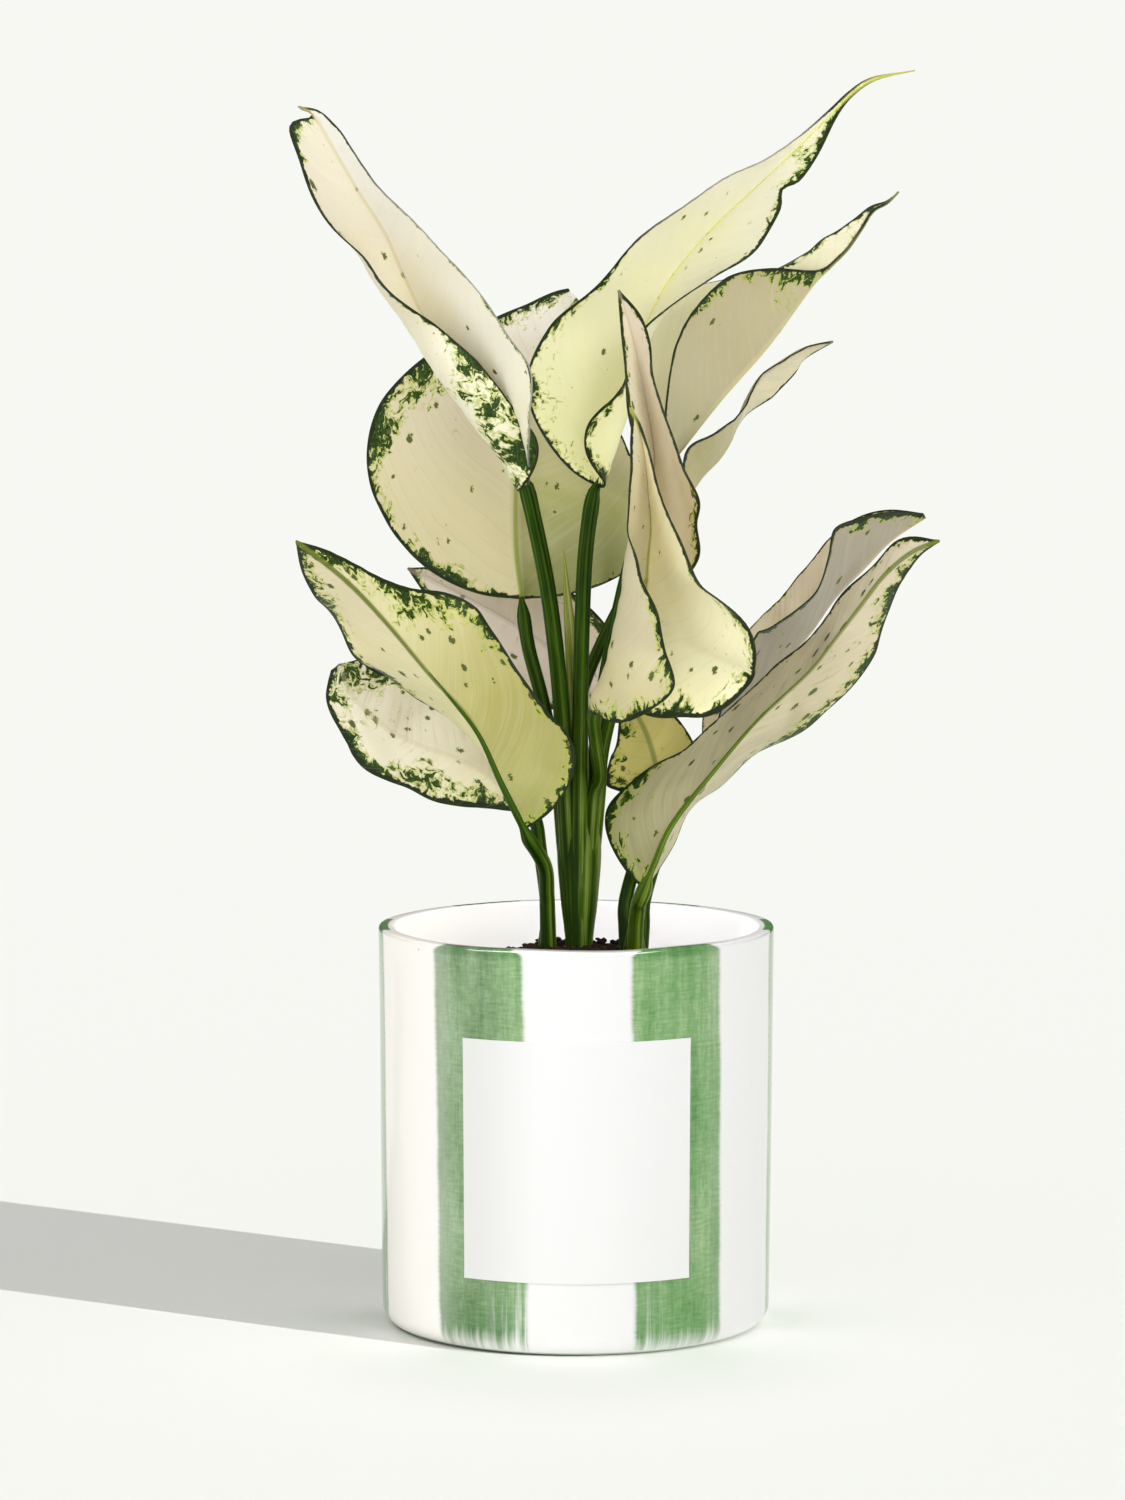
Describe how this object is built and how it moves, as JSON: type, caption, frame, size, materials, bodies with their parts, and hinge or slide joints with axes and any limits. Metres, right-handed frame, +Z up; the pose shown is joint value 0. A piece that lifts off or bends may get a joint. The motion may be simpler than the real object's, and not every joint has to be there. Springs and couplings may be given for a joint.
{
  "type": "potted aglaonema",
  "caption": "Broad leaved aglaonema with cream and green variegated leaves, in soil in a plastic nursery pot inside a striped cylindrical ceramic cover pot.",
  "frame": {"origin": "centre of the cover pot's flat base, on the surface it stands on", "axes": "+Z up along the pot's axis, -Y towards the front, where the label is, +X to the right seen from the front"},
  "size_m": [0.2182, 0.1527, 0.4344],
  "materials": {
    "glazed_pot": "glossy white glaze with brushed green vertical stripes",
    "paper_label": "plain smooth white paper",
    "black_plastic": "moulded, dull black",
    "potting_soil": "dark crumbly peat mix",
    "stem": "smooth dark green petiole skin",
    "new_growth": "smooth pale green rolled leaf",
    "cream_leaf": "waxy cream leaf with green mottled margins"
  },
  "bodies": {
    "root": {"pot": "glazed_pot", "label": "paper_label", "nursery_pot": "black_plastic", "soil": "potting_soil", "shoot_center": "stem", "shoot_left": "stem", "shoot_right": "stem", "new_leaf": "new_growth", "leaf_upper_left_blade": "cream_leaf", "leaf_upper_left_petiole": "stem", "leaf_upper_right_blade": "cream_leaf", "leaf_upper_right_petiole": "stem", "leaf_center_blade": "cream_leaf", "leaf_center_petiole": "stem", "leaf_right_blade": "cream_leaf", "leaf_right_petiole": "stem", "leaf_right_ribbon_blade": "cream_leaf", "leaf_right_ribbon_petiole": "stem", "leaf_broad_back_blade": "cream_leaf", "leaf_broad_back_petiole": "stem", "leaf_lower_left_front_blade": "cream_leaf", "leaf_lower_left_front_petiole": "stem", "leaf_lower_left_back_blade": "cream_leaf", "leaf_lower_left_back_petiole": "stem", "leaf_back_left_blade": "cream_leaf", "leaf_back_left_petiole": "stem", "leaf_lower_right_front_blade": "cream_leaf", "leaf_lower_right_front_petiole": "stem", "leaf_lower_right_back_blade": "cream_leaf", "leaf_lower_right_back_petiole": "stem", "leaf_folded_front_blade": "cream_leaf", "leaf_folded_front_petiole": "stem", "leaf_small_low_blade": "cream_leaf", "leaf_small_low_petiole": "stem"}
  },
  "joints": []
}
